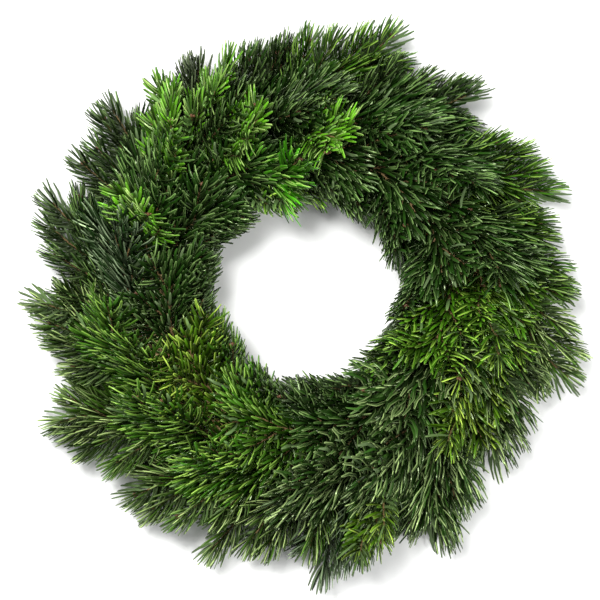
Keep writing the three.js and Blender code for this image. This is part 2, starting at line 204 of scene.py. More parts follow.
def start_shape_tree(name, inputs):
    """A new Geometry Nodes tree with one geometry output. Gives the tree's inputs by name."""
    tree = bpy.data.node_groups.new(name, "GeometryNodeTree")
    tree.interface.new_socket("Geometry", in_out="OUTPUT", socket_type="NodeSocketGeometry")
    for label, kind in inputs.items():
        tree.interface.new_socket(label, in_out="INPUT", socket_type="NodeSocket" + kind)
    first = Socket(tree).node("NodeGroupInput")
    return tree, {label: first.sibling(label) for label in inputs}


def finish_part(geometry, material):
    """The last two nodes of each part of a piece: no instances are left, and it has its material."""
    plain = geometry.node("GeometryNodeRealizeInstances", sockets={0: geometry})
    return geometry.node("GeometryNodeSetMaterial", sockets={0: plain, "Material": material})


def end_shape_tree(parts):
    joined = parts[0].node("GeometryNodeJoinGeometry", sockets={0: parts})
    joined.node("NodeGroupOutput", sockets={0: joined})


def store(geometry, name, value, kind="FLOAT", domain="POINT"):
    settings = {"data_type": kind, "domain": domain}
    return geometry.node("GeometryNodeStoreNamedAttribute", settings, {0: geometry, 2: name, 3: value})


def stored(any_socket, name, kind="FLOAT"):
    return any_socket.node("GeometryNodeInputNamedAttribute", {"data_type": kind}, {0: name})


def random_value(any_socket, least, most, seed):
    sockets = {2: least, 3: most, "Seed": seed}
    return any_socket.node("FunctionNodeRandomValue", {"data_type": "FLOAT"}, sockets, 1)


def grow(name, source_mesh, tree, values):
    """Runs a tree on a mesh and keeps what it makes as a plain mesh object."""
    source = link_object(name + "_source", source_mesh)
    modifier = source.modifiers.new("shape", "NODES")
    modifier.node_group = tree
    for item in tree.interface.items_tree:
        if item.in_out == "INPUT" and item.name in values:
            modifier[item.identifier] = values[item.name]
    evaluated = source.evaluated_get(bpy.context.evaluated_depsgraph_get())
    mesh = bpy.data.meshes.new_from_object(evaluated)
    mesh.name = name
    source.modifiers.remove(modifier)
    bpy.data.objects.remove(source)
    bpy.data.meshes.remove(source_mesh)
    return link_object(name, mesh)


def start_material(name, roughness):
    """A material whose Principled shader is fed by expressions. Gives it, its shader and a socket."""
    material = bpy.data.materials.new(name)
    material.use_nodes = True
    shader = material.node_tree.nodes["Principled BSDF"]
    shader.inputs["Roughness"].default_value = roughness
    return material, shader, Socket(material.node_tree)


def feed(shader, name, value):
    value.tree.links.new(value.source, shader.inputs[name])


def mix_colours(factor, first, second):
    return factor.node("ShaderNodeMix", {"data_type": "RGBA"}, {0: factor, 6: first, 7: second}, 2)


def bump_normal(height, strength, distance):
    return height.node("ShaderNodeBump", sockets={
        "Strength": strength, "Distance": distance, "Height": height,
    })


def read_attribute(here, name):
    return here.node("ShaderNodeAttribute", {"attribute_name": name}, output=2)


def outward_at(clock, section):
    """Away from the middle of the straw's section. Clock angles run clockwise from the wreath's top."""
    level = cos(radians(section))
    return Vector((level * sin(radians(clock)), level * cos(radians(clock)), sin(radians(section))))


def ring_point(clock, section, distance):
    middle = ring_middle + outward_at(clock, 0) * RING_RADIUS
    return middle + outward_at(clock, section) * distance


def back_distance(section):
    """How far the straw's surface lies from the middle of its section, with the flattened back."""
    downward = max(-sin(radians(section)), LEAST_DOWNWARD)
    return min(STRAW_RADIUS, STRAW_MIDDLE_HEIGHT / downward)


core = bpy.data.meshes.new("straw_core")
core_points = []
core_faces = []
for i in range(CORE_RING_STEPS):
    for j in range(CORE_SECTION_STEPS):
        section = 360 * j / CORE_SECTION_STEPS
        clock = 360 * i / CORE_RING_STEPS
        core_points.append(ring_point(clock, section, back_distance(section) - CORE_DEPTH))
        next_i = (i + 1) % CORE_RING_STEPS * CORE_SECTION_STEPS
        next_j = (j + 1) % CORE_SECTION_STEPS
        here_i = i * CORE_SECTION_STEPS
        core_faces.append((here_i + j, here_i + next_j, next_i + next_j, next_i + j))
core.from_pydata(core_points, [], core_faces)

straw_finish, shader, here = start_material("dry_wheat_straw", STRAW_ROUGHNESS)
fibre = here.node("ShaderNodeTexNoise", sockets={"Scale": 900, "Detail": 3})
straw_draw = read_attribute(here, "draw")
feed(shader, "Base Color", mix_colours(straw_draw * 0.7 + fibre * 0.45 - 0.1, STRAW_TAN, STRAW_PALE))
feed(shader, "Normal", bump_normal(fibre, 0.3, 0.2 * MM))

straw_tree, given = start_shape_tree("laid straw", {
    "Core": "Geometry", "Straws": "Int", "Straw Width": "Float", "Straw Arc": "Float",
    "Press Depth": "Float", "Seed": "Int", "Finish": "Material",
})
base = given["Core"]
line = base.node("GeometryNodeCurvePrimitiveLine", sockets={"End": (1, 0, 0)})
line = base.node("GeometryNodeResampleCurve", sockets={0: line, "Count": STRAW_STEPS})
points = base.node("GeometryNodePoints", sockets={0: given["Straws"]})
seed = given["Seed"]
points = store(points, "clock", random_value(base, 0.0, tau, seed))
points = store(points, "section", random_value(base, 0.0, tau, seed + 1))
arc = given["Straw Arc"] * random_value(base, *STRAW_ARC_DRAWS, seed + 2)
points = store(points, "arc", arc)
points = store(points, "drift", random_value(base, -STRAW_DRIFT, STRAW_DRIFT, seed + 3))
depth = given["Straw Width"] * random_value(base, *STRAW_DEPTH_DRAWS, seed + 4)
points = store(points, "depth", depth)
points = store(points, "draw", random_value(base, 0.0, 1.0, seed + 5))
straws = base.node("GeometryNodeInstanceOnPoints", sockets={0: points, "Instance": line})
straws = base.node("GeometryNodeRealizeInstances", sockets={0: straws})
place = base.node("GeometryNodeInputPosition")
along = place.node("ShaderNodeSeparateXYZ", sockets={0: place})
clock = stored(base, "clock") + along * stored(base, "arc")
section = stored(base, "section") + (along - 0.5) * stored(base, "drift")
downward = section.math("SINE") * -1
surface = (STRAW_MIDDLE_HEIGHT / downward.math("MAXIMUM", LEAST_DOWNWARD)).math("MINIMUM", STRAW_RADIUS)
phase = (clock * (WIRE_TURNS / tau) - section / tau + 0.5).math("FRACT") - 0.5
at_back = (downward * PRESS_FADE - PRESS_FADE / 2).math("MINIMUM", 1).math("MAXIMUM", 0)
press = ((phase / PRESS_WIDTH) ** 2 * -1).math("EXPONENT") * at_back
distance = surface - stored(base, "depth") - press * given["Press Depth"]
level = section.math("COSINE") * distance + RING_RADIUS
height = section.math("SINE") * distance
bent = base.node("ShaderNodeCombineXYZ", sockets={
    0: clock.math("SINE") * level, 1: clock.math("COSINE") * level, 2: height,
}) + tuple(ring_middle)
straws = base.node("GeometryNodeSetPosition", sockets={0: straws, "Position": bent})
straw_section = base.node("GeometryNodeCurvePrimitiveCircle", sockets={
    "Resolution": STRAW_SIDES, "Radius": given["Straw Width"] / 2,
})
straws = base.node("GeometryNodeCurveToMesh", sockets={0: straws, 1: straw_section, "Fill Caps": True})
end_shape_tree([finish_part(base, given["Finish"]), finish_part(straws, given["Finish"])])

straw_ring = grow("laid_straw_ring", core, straw_tree, {
    "Straws": 420, "Straw Width": 3 * MM, "Straw Arc": 1.1, "Press Depth": 2.2 * MM, "Seed": 3,
    "Finish": straw_finish,
})
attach(straw_ring, "root")
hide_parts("straw_ring")

# The binding wire: one long piece of thin steel wire with dark green lacquer. It winds twenty times
# round the straw and the stems on it, and runs straight across the flat back between two turns.
WIRE_RADIUS = 0.6 * MM
STEM_RADIUS = 2 * MM
SEAT_GAP = 0.6 * MM
WIRE_GAP = 0.4 * MM
WIRE_ARC = (-20, 200)
WIRE_ARC_STEPS = 22
WIRE_BACK_HEIGHT = 0.9 * MM
WIRE_BACK_HALF_WIDTH = 14 * MM
WIRE_END_GAP = 3 * MM
LACQUER_GREEN = (0.018, 0.06, 0.026, 1)


def wire_clock(turn, section):
    return (turn + section / 360) * WIRE_PITCH


def wire_turn(turn):
    over_stems = STRAW_RADIUS + SEAT_GAP + 2 * STEM_RADIUS + WIRE_GAP + WIRE_RADIUS
    drop = STRAW_MIDDLE_HEIGHT - WIRE_BACK_HEIGHT
    corner = degrees(atan2(drop, WIRE_BACK_HALF_WIDTH))
    corner_distance = hypot(drop, WIRE_BACK_HALF_WIDTH)
    places = [(-corner, corner_distance)]
    for i in range(WIRE_ARC_STEPS + 1):
        section = WIRE_ARC[0] + i * (WIRE_ARC[1] - WIRE_ARC[0]) / WIRE_ARC_STEPS
        places.append((section, over_stems))
    places.append((180 + corner, corner_distance))
    return [ring_point(wire_clock(turn, section), section, distance) for section, distance in places]


wire_points = [point for turn in range(WIRE_TURNS) for point in wire_turn(turn)]
first_point, last_point = wire_points[0], wire_points[-1]
end_share = 0.5 + WIRE_END_GAP / 2 / (first_point - last_point).length
wire_points.insert(0, last_point.lerp(first_point, end_share))
wire_points.append(last_point.lerp(first_point, 1 - end_share))
wire_line = bpy.data.meshes.new("wire_line")
wire_line.from_pydata(wire_points, [(i, i + 1) for i in range(len(wire_points) - 1)], [])

wire_finish, shader, here = start_material("dark_green_lacquer", 0.35)
shader.inputs["Base Color"].default_value = LACQUER_GREEN
scuffs = here.node("ShaderNodeTexNoise", sockets={"Scale": 350, "Detail": 2})
feed(shader, "Roughness", scuffs * 0.35 + 0.2)

wire_tree, given = start_shape_tree("round wire", {
    "Line": "Geometry", "Wire Radius": "Float", "Sides": "Int", "Finish": "Material",
})
route = given["Line"].node("GeometryNodeMeshToCurve", sockets={0: given["Line"]})
wire_section = route.node("GeometryNodeCurvePrimitiveCircle", sockets={
    "Resolution": given["Sides"], "Radius": given["Wire Radius"],
})
wire = route.node("GeometryNodeCurveToMesh", sockets={0: route, 1: wire_section, "Fill Caps": True})
end_shape_tree([finish_part(wire, given["Finish"])])

wire = grow("lacquered_binding_wire", wire_line, wire_tree, {
    "Wire Radius": WIRE_RADIUS, "Sides": 8, "Finish": wire_finish,
})
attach(wire, "root")
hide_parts("binding_wire")

# The fir sprays: cut shoots of Nordmann fir, each tied to the straw where a turn of the wire crosses
# its row. All point clockwise and overlap like scales. Reach is how far in mm the tips stand from the
# straw's middle. Growth and spacing multiply the lengths and the needle spacing of a spray's kind.
ROWS = [
    {
        "row": "outer_edge", "count": 16, "section": 6, "swing": -2, "reach": 74, "sweep": 36,
        "flare": 1, "roll": 64, "growth": 1.08, "spacing": 0.68, "extra_shoots": 2,
    },
    {
        "row": "outer_crown", "count": 14, "section": 54, "swing": -8, "reach": 62, "sweep": 38,
        "flare": 1.1, "roll": 10, "growth": 1, "spacing": 1, "extra_shoots": 0,
    },
    {
        "row": "inner_crown", "count": 11, "section": 106, "swing": 4, "reach": 53, "sweep": 46,
        "flare": 1, "roll": 0, "growth": 0.95, "spacing": 1, "extra_shoots": 0,
    },
    {
        "row": "inner_edge", "count": 10, "section": 156, "swing": -8, "reach": 48, "sweep": 50,
        "flare": 0.75, "roll": -40, "growth": 0.88, "spacing": 0.85, "extra_shoots": 0,
    },
]
ROW_STAGGER = 0.3
TIP_JITTER = 2
REACH_JITTER = 3
SWING_JITTER = 4
# How many mm further each outer edge spray reaches, so that the outline follows the photo's.
EDGE_REACHES = [-18, 6, -5, -3, -14, 8, -10, 14, 8, -2, 4, 15, -3, 8, -3, -17]
YOUNG_SPRIGS = [
    {"tip": 326, "section": 80, "swing": -42, "reach": 86, "sweep": 26},
    {"tip": 340, "section": 30, "swing": 20, "reach": 86, "sweep": 24},
    {"tip": 344, "section": 80, "swing": -2, "reach": 73, "sweep": 26},
    {"tip": 355, "section": 131, "swing": -14, "reach": 72, "sweep": 34},
    {"tip": 12, "section": 80, "swing": 12, "reach": 67, "sweep": 28},
    {"tip": 298, "section": 80, "swing": -14, "reach": 74, "sweep": 26},
    {"tip": 169, "section": 30, "swing": -12, "reach": 92, "sweep": 26},
]
YOUNG_FORM = {
    "row": "young", "flare": 1.2, "roll": 20, "growth": 1, "spacing": 1, "extra_shoots": 0,
}
LIFT_SHARE = 0.08
BUTT_TURN = 5
LAST_WHORL_SHARE = 0.97
SWING_NUDGES = [0, 4, -4, 8, -8, 12, -12, 16, -16]

# The kinds of foliage: old and young shoots of several firs. Needles have their sizes in mm, a lean in
# degrees at a shoot's foot and at its tip, and a curl in radians. They stand round a share of a turn,
# with a bare gap on top. Side shoots have a number, a rise, and lengths in mm from foot to tip.
COMMON_KIND = {
    "width": 2.35, "spacing": 0.86, "lean": (76, 54), "parting": 0.68, "top_gap": 0.06, "curl": 0.75,
    "rise": 0, "side_shoots": 6, "side_lengths": (50, 32),
}
# A kind's tip colour is the pale of its needles' margins and tips, partly their own colour and partly a
# painted glint.
KINDS = {
    "black": {"leaf": (0.006, 0.012, 0.003), "tip": (0.17, 0.22, 0.11), "length": 27},
    "dark": {"leaf": (0.0075, 0.027, 0.0025), "tip": (0.19, 0.31, 0.09), "length": 28},
    "blue": {
        "leaf": (0.007, 0.024, 0.004), "tip": (0.24, 0.33, 0.18), "length": 32, "width": 2.3,
        "spacing": 1, "lean": (66, 44), "parting": 0.66, "top_gap": 0.15, "curl": 0.6,
    },
    "long": {
        "leaf": (0.008, 0.032, 0.0025), "tip": (0.21, 0.36, 0.1), "length": 33, "width": 2.3,
        "spacing": 1, "lean": (70, 50), "parting": 0.66, "top_gap": 0.1, "curl": 0.65,
    },
    "curved": {
        "leaf": (0.012, 0.04, 0.004), "tip": (0.38, 0.52, 0.19), "length": 38, "width": 2.5,
        "spacing": 0.84, "lean": (100, 84), "parting": 0.62, "top_gap": 0.26, "curl": 1.6,
    },
    "mid": {"leaf": (0.02, 0.072, 0.003), "tip": (0.3, 0.52, 0.08), "length": 29},
    "fresh": {
        "leaf": (0.028, 0.105, 0.004), "tip": (0.36, 0.6, 0.09), "length": 27, "lean": (82, 60),
        "curl": 1,
    },
    "pale": {"leaf": (0.034, 0.09, 0.006), "tip": (0.47, 0.62, 0.22), "length": 29},
    "bright": {
        "leaf": (0.03, 0.1, 0.003), "tip": (0.38, 0.64, 0.08), "length": 25, "lean": (70, 54),
        "parting": 0.9, "top_gap": 0, "curl": 0.5, "rise": 0.7,
    },
    "yellow": {
        "leaf": (0.04, 0.105, 0.003), "tip": (0.46, 0.66, 0.09), "length": 26, "lean": (70, 54),
        "parting": 0.9, "top_gap": 0, "curl": 0.5, "rise": 0.4,
    },
    "young": {
        "leaf": (0.076, 0.235, 0.008), "tip": (0.38, 0.56, 0.15), "length": 25, "width": 2.3,
        "spacing": 0.95, "lean": (56, 40), "parting": 0.58, "top_gap": 0.16, "curl": 0.4,
        "rise": 0.35, "side_shoots": 5, "side_lengths": (32, 24),
    },
    "vivid": {
        "leaf": (0.04, 0.2, 0.005), "tip": (0.32, 0.56, 0.11), "length": 29, "width": 2.3,
        "spacing": 0.95, "lean": (66, 46), "parting": 0.58, "top_gap": 0.2, "curl": 0.9,
        "rise": 0.35, "side_shoots": 3, "side_lengths": (34, 26),
    },
}

# Which spray is of which kind, clockwise in each row.
ROW_KINDS = {
    "outer_edge": "dark mid dark mid mid pale curved curved blue pale pale pale pale dark dark black",
    "outer_crown": "dark long long long bright yellow curved curved fresh mid mid blue long dark",
    "inner_crown": "dark long dark bright curved dark mid yellow dark dark dark",
    # The inner edge is mostly of the dark kinds, which is partly the needles' own colour and partly
    # painted shade round the hole.
    "inner_edge": "dark dark dark mid dark dark mid dark dark bright",
    "young": "young young young vivid young young yellow",
}

# Each draw gives the next number of one fixed series, the one that the rows of the CAD model use.
layout_state = 2024


def draw(least, most):
    global layout_state
    layout_state = layout_state * 16807 % 2147483647
    return least + (most - least) * layout_state / 2147483647


def tied(name, tip, form):
    """A spray is tied where a turn of the wire crosses its row, so its sweep is fitted to its tip."""
    turn = floor((tip - form["sweep"]) / WIRE_PITCH - form["section"] / 360 + 0.5)
    clock = wire_clock(turn, form["section"])
    return {**form, "name": name, "clock": clock, "sweep": tip - clock}


def shoot_point(spray, share):
    """A place on a spray's main shoot, by its share of the way from the wire to the tip."""
    seat = STRAW_RADIUS + SEAT_GAP + STEM_RADIUS
    rise = (max(0, share - LIFT_SHARE) / (1 - LIFT_SHARE)) ** spray["flare"]
    section = spray["section"] + spray["swing"] * rise
    distance = seat + (spray["reach"] * MM - seat) * rise
    return ring_point(spray["clock"] + spray["sweep"] * share, section, distance)


def shoot_outward(spray, share):
    return outward_at(spray["clock"] + spray["sweep"] * share, spray["section"] + spray["swing"] * share)


def fit_to_cad(spray):
    """Some CAD shoots had to swing aside, so the swing is the one that meets the CAD shoot's end."""
    corners = [vertex.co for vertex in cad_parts[spray["name"]].data.vertices]

    def miss(nudge):
        end = shoot_point({**spray, "swing": spray["swing"] + nudge}, LAST_WHORL_SHARE)
        return min((corner - end).length for corner in corners)

    return {**spray, "swing": spray["swing"] + min(SWING_NUDGES, key=miss)}


sprays = []
for row_index, row in enumerate(ROWS):
    for i in range(row["count"]):
        tip = (i + row_index * ROW_STAGGER) * 360 / row["count"] + draw(-TIP_JITTER, TIP_JITTER)
        further = EDGE_REACHES[i] if row_index == 0 else 0
        reach = row["reach"] + further + draw(-REACH_JITTER, REACH_JITTER)
        swing = row["swing"] + draw(-SWING_JITTER, SWING_JITTER)
        kind = ROW_KINDS[row["row"]].split()[i]
        form = {**row, "reach": reach, "swing": swing, "kind": kind}
        sprays.append(tied(f"{row['row']}_spray_{i + 1:02d}", tip, form))
for i, sprig in enumerate(YOUNG_SPRIGS):
    form = {**YOUNG_FORM, **sprig, "kind": ROW_KINDS["young"].split()[i]}
    sprays.append(tied(f"young_sprig_{i + 1}", sprig["tip"], form))
sprays = [fit_to_cad(spray) for spray in sprays]

# A spray's shoots: tan woody twigs. The main one follows the CAD model's shoot, and side shoots stand
# on both sides of it in one fan, as on a fir branch. The young sprigs, tucked in last, lie on top.
MAIN_STEPS = 18
SIDE_STEPS = 7
LEAFY_FROM = 0.12
SIDE_LEAFY_FROM = 0.06
LEAFY_RAMP = 12
MAIN_TWIG = (2 * MM, 1.2 * MM)
SIDE_TWIG = (1.1 * MM, 0.6 * MM)
SIDE_SHOOT_SHARES = (0.24, 0.82)
YOUNG_SHOOT_SHARES = (0.42, 0.86)
YOUNG_RISE = 2 * MM
SHOOT_FLOOR = 4.5 * MM
SIDE_SPREAD = 44
SIDE_CLOSING = 0.35
SHARE_JITTER = 0.03
FAN_JITTER = 14
SPREAD_JITTER = 7
SIDE_LIFT_DRAWS = (-0.05, 0.2)
RISE_DRAWS = (0.6, 1.2)
SIDE_LENGTH_DRAWS = (0.85, 1.1)
HEADING_STEP = 0.02
SHOOT_NUMBERS = ("share", "thickness", "leafy", "tone")
SHOOT_VECTORS = ("forward", "outward")
shoot_draws = random.Random(11)


def between(first, last, share):
    return first + (last - first) * share


def leaning(along, beside, angle):
    return along * cos(radians(angle)) + beside * sin(radians(angle))


def raised_point(spray, share):
    """A place on the main shoot in the scene, where a young sprig rises a little towards its tip."""
    rise = YOUNG_RISE * max(share, 0) if spray["row"] == "young" else 0
    return shoot_point(spray, share) + Vector((0, 0, rise))


def jitter(most):
    return shoot_draws.uniform(-most, most)


def kind_of(spray):
    return {**COMMON_KIND, **KINDS[spray["kind"]]}


def add_shoot(shoots, points, outward, twig, leafy_from):
    """Adds one shoot as a row of points, each with what the needles on it are placed by."""
    tone = shoot_draws.random()
    points = [Vector((point.x, point.y, max(point.z, SHOOT_FLOOR))) for point in points]
    for i, point in enumerate(points):
        share = i / (len(points) - 1)
        after = points[min(i + 1, len(points) - 1)]
        before = points[max(i - 1, 0)]
        shoots["forward"].append((after - before).normalized())
        shoots["outward"].append(outward[i])
        shoots["share"].append(share)
        shoots["thickness"].append(twig[0] + (twig[1] - twig[0]) * share)
        shoots["leafy"].append(min(1, max(0, (share - leafy_from) * LEAFY_RAMP)))
        shoots["tone"].append(tone)
        if i:
            shoots["edges"].append((len(shoots["points"]) - 1, len(shoots["points"])))
        shoots["points"].append(point)


def spray_shoots(spray):
    shoots = {label: [] for label in ("points", "edges", *SHOOT_VECTORS, *SHOOT_NUMBERS)}
    kind = kind_of(spray)
    start = -BUTT_TURN / spray["sweep"]
    shares = [start + (1 - start) * i / MAIN_STEPS for i in range(MAIN_STEPS + 1)]
    points = [raised_point(spray, share) for share in shares]
    outwards = [shoot_outward(spray, share) for share in shares]
    add_shoot(shoots, points, outwards, MAIN_TWIG, LEAFY_FROM)
    shoot_count = kind["side_shoots"] + spray["extra_shoots"]
    shoot_shares = YOUNG_SHOOT_SHARES if spray["row"] == "young" else SIDE_SHOOT_SHARES
    for number in range(shoot_count):
        order = number / (shoot_count - 1)
        share = between(*shoot_shares, order) + jitter(SHARE_JITTER)
        point = raised_point(spray, share)
        ahead = shoot_point(spray, share + HEADING_STEP)
        along = (ahead - shoot_point(spray, share - HEADING_STEP)).normalized()
        outward = shoot_outward(spray, share)
        outward = (outward - along * outward.dot(along)).normalized()
        fan = Quaternion(along, radians(-spray["roll"] + jitter(FAN_JITTER)))
        beside = fan @ outward.cross(along) * (1 if number % 2 == 0 else -1)
        spread = SIDE_SPREAD + jitter(SPREAD_JITTER)
        lift = shoot_draws.uniform(*SIDE_LIFT_DRAWS) + kind["rise"] * shoot_draws.uniform(*RISE_DRAWS)
        length = between(*kind["side_lengths"], order) * spray["growth"]
        length = length * shoot_draws.uniform(*SIDE_LENGTH_DRAWS) * MM
        step = length / SIDE_STEPS
        side_points = [point]
        for i in range(SIDE_STEPS):
            angle = spread * (1 - SIDE_CLOSING * i / SIDE_STEPS)
            direction = leaning(along, beside, angle) + outward * lift * i / SIDE_STEPS
            side_points.append(side_points[-1] + direction.normalized() * step)
        add_shoot(shoots, side_points, [outward] * len(side_points), SIDE_TWIG, SIDE_LEAFY_FROM)
    return shoots


def shoots_mesh(name, shoots):
    mesh = bpy.data.meshes.new(name)
    mesh.from_pydata(shoots["points"], shoots["edges"], [])
    for label in SHOOT_NUMBERS:
        mesh.attributes.new(label, "FLOAT", "POINT").data.foreach_set("value", shoots[label])
    for label in SHOOT_VECTORS:
        numbers = [number for vector in shoots[label] for number in vector]
        mesh.attributes.new(label, "FLOAT_VECTOR", "POINT").data.foreach_set("vector", numbers)
    return mesh


def make_needle():
    """A needle of unit length along Z with a narrow foot and a blunt tip. It is flat on top, towards +Y,
    with a bevelled margin on both sides and a flat pale underside."""
    needle = bmesh.new()
    along = needle.verts.layers.float.new("along")
    underside = needle.faces.layers.float.new("underside")
    margin = needle.faces.layers.float.new("margin")
    section = ((-0.5, 0), (0.5, 0), (0.3, 1), (-0.3, 1))
    face_marks = ((1, 0), (0, 1), (0, 0), (0, 1))
    rings = []
    for height, width in ((0, 0.45), (0.36, 1), (0.7, 1), (0.95, 0.7)):
        ring = [needle.verts.new((x * width, y * width, height)) for x, y in section]
        for vertex in ring:
            vertex[along] = height
        rings.append(ring)
    tip = needle.verts.new((0, 0.3, 1))
    tip[along] = 1
    needle.faces.new(rings[0][::-1])
    for i, marks in enumerate(face_marks):
        j = (i + 1) % len(section)
        stretch = []
        for rear, front in zip(rings, rings[1:]):
            stretch.append(needle.faces.new((rear[i], rear[j], front[j], front[i])))
        stretch.append(needle.faces.new((rings[-1][i], rings[-1][j], tip)))
        for face in stretch:
            face.smooth = True
            face[underside], face[margin] = marks
    for rear, front in zip(rings, rings[1:]):
        for i in range(len(section)):
            needle.edges.get((rear[i], front[i])).smooth = False
    mesh = bpy.data.meshes.new("needle")
    needle.to_mesh(mesh)
    needle.free()
    return link_object("needle", mesh)


def make_buds():
    """Three scaly winter buds on the end of a shoot that runs along Z: a large one between two small."""
    buds = bmesh.new()
    sides = 6
    profile = ((-0.1, 0.3), (0.35, 0.5), (0.75, 0.34))
    for across, size, tilt in ((0, 1, 0), (0.42, 0.75, 30), (-0.42, 0.75, -30)):
        turn = Quaternion((0, 1, 0), radians(tilt))
        rings = []
        for height, radius in profile:
            ring = []
            for k in range(sides):
                angle = tau * k / sides
                corner = Vector((radius * cos(angle), radius * sin(angle), height)) * size
                ring.append(buds.verts.new(turn @ corner + Vector((across, 0, 0))))
            rings.append(ring)
        tip = buds.verts.new(turn @ Vector((0, 0, size)) + Vector((across, 0, 0)))
        buds.faces.new(rings[0][::-1])
        for k in range(sides):
            m = (k + 1) % sides
            for rear, front in zip(rings, rings[1:]):
                buds.faces.new((rear[k], rear[m], front[m], front[k])).smooth = True
            buds.faces.new((rings[-1][k], rings[-1][m], tip)).smooth = True
    mesh = bpy.data.meshes.new("buds")
    buds.to_mesh(mesh)
    buds.free()
    return link_object("buds", mesh)


# The needles, the bark and the buds of one spray. The needles stand round a shoot in a spiral, parted
# below it, and those at its sides are the longest and lean furthest from it. Each is flat and bent in
# one arc towards the shoot's tip.
GOLDEN_TURN = 0.381966
BARE_DRAWS = (0.05, 0.95)
TURN_JITTER = 0.02
LEAN_CURVE = 1.4
LEAN_JITTER = 0.045
TOP_LEAN_LOSS = 0.25
TOP_SHORTENING = 0.22
END_SHORTENING = 0.3
LENGTH_DRAWS = (0.9, 1.08)
WIDTH_DRAWS = (0.85, 1.15)
NEEDLE_THICKNESS = 0.32
FACING_TURN = 0.5
FACING_JITTER = 0.25
UPSIDE_DOWN_SHARE = 0.04
BOW_DRAWS = (-0.15, 0.3)
LOWEST_BOW = -0.1
CURL_DRAWS = (0.6, 1.2)
LOWEST_NEEDLE = 0.3 * MM
BARK_SIDES = 6
END_SHARE = 0.999
fir_tree, given = start_shape_tree("needled shoots", {
    "Shoots": "Geometry", "Needle": "Object", "Buds": "Object", "Needle Length": "Float",
    "Needle Width": "Float", "Needle Spacing": "Float", "Lean at Foot": "Float", "Lean at Tip": "Float",
    "Parting": "Float", "Top Gap": "Float", "Curl": "Float", "Bud Size": "Float",
    "Budded Share": "Float", "Floor Gap": "Float", "Seed": "Int",
    "Needle Finish": "Material", "Bark Finish": "Material", "Bud Finish": "Material",
})
seed = given["Seed"]
shoots = given["Shoots"].node("GeometryNodeMeshToCurve", sockets={0: given["Shoots"]})
bark_section = shoots.node("GeometryNodeCurvePrimitiveCircle", sockets={
    "Resolution": BARK_SIDES, "Radius": 1.0,
})
twigs = shoots.node("GeometryNodeCurveToMesh", sockets={
    0: shoots, 1: bark_section, "Scale": stored(shoots, "thickness"), "Fill Caps": True,
})

# The needles' feet stand at even steps along the shoots, but for the bare stretch near the wire.
feet = shoots.node("GeometryNodeCurveToPoints", {"mode": "LENGTH"}, {
    0: shoots, "Length": given["Needle Spacing"],
})
is_bare = stored(feet, "leafy").math("LESS_THAN", random_value(feet, *BARE_DRAWS, seed))
feet = feet.node("GeometryNodeDeleteGeometry", {"domain": "POINT"}, {0: feet, 1: is_bare})
share = stored(feet, "share")
forward = stored(feet, "forward", "FLOAT_VECTOR").vector("NORMALIZE")
beside = forward.vector("CROSS_PRODUCT", stored(feet, "outward", "FLOAT_VECTOR")).vector("NORMALIZE")
outward = beside.vector("CROSS_PRODUCT", forward)

# Each foot is a golden turn further round than the last, with a parting below and a gap on top.
spiral = feet.node("GeometryNodeInputIndex") * GOLDEN_TURN
spiral = spiral + random_value(feet, -TURN_JITTER, TURN_JITTER, seed + 1)
place_round = spiral.math("FRACT") - 0.5
half_gap = place_round.math("SIGN") * given["Top Gap"] / 2
turn = (place_round * (given["Parting"] - given["Top Gap"]) + half_gap) * tau
topness = turn.math("COSINE").math("MAXIMUM", 0)

# Needles lean less near the shoot's tip and on top of it, where they are shorter too.
lean = given["Lean at Foot"] + (given["Lean at Tip"] - given["Lean at Foot"]) * share ** LEAN_CURVE
lean = lean * (1 - topness * TOP_LEAN_LOSS) + random_value(feet, -LEAN_JITTER, LEAN_JITTER, seed + 2)
away = outward * turn.math("COSINE") + beside * turn.math("SINE")
direction = forward * lean.math("COSINE") + away * lean.math("SINE")
middling = 1 - ((share * 2 - 1).math("ABSOLUTE") ** 3) * END_SHORTENING
length = given["Needle Length"] * random_value(feet, *LENGTH_DRAWS, seed + 3) * middling
length = length * (1 - topness * TOP_SHORTENING)

# No needle points down into the table.
foot_place = feet.node("GeometryNodeInputPosition")
foot_height = feet.node("ShaderNodeSeparateXYZ", sockets={0: foot_place}).sibling("Z")
parts = feet.node("ShaderNodeSeparateXYZ", sockets={0: direction})
lowest_fall = (given["Floor Gap"] - foot_height) / length
direction = feet.node("ShaderNodeCombineXYZ", sockets={
    0: parts.sibling("X"), 1: parts.sibling("Y"), 2: parts.sibling("Z").math("MAXIMUM", lowest_fall),
}).vector("NORMALIZE")

# The green side faces outward and a little back, but for a few needles that are turned over. The
# bow is the way that a needle bends: towards the shoot's tip.
facing_jitter = random_value(feet, -FACING_JITTER, FACING_JITTER, seed + 4)
upper_side = outward - forward * FACING_TURN + beside * facing_jitter
upside_down = random_value(feet, 0.0, 1.0, seed + 10) - UPSIDE_DOWN_SHARE
upper_side = upper_side * upside_down.math("SIGN")
bow = forward + outward * random_value(feet, *BOW_DRAWS, seed + 5)
bow = (bow - direction * bow.vector("DOT_PRODUCT", direction, output=1)).vector("NORMALIZE")
bow_parts = feet.node("ShaderNodeSeparateXYZ", sockets={0: bow})
bow = feet.node("ShaderNodeCombineXYZ", sockets={
    0: bow_parts.sibling("X"), 1: bow_parts.sibling("Y"),
    2: bow_parts.sibling("Z").math("MAXIMUM", LOWEST_BOW),
})

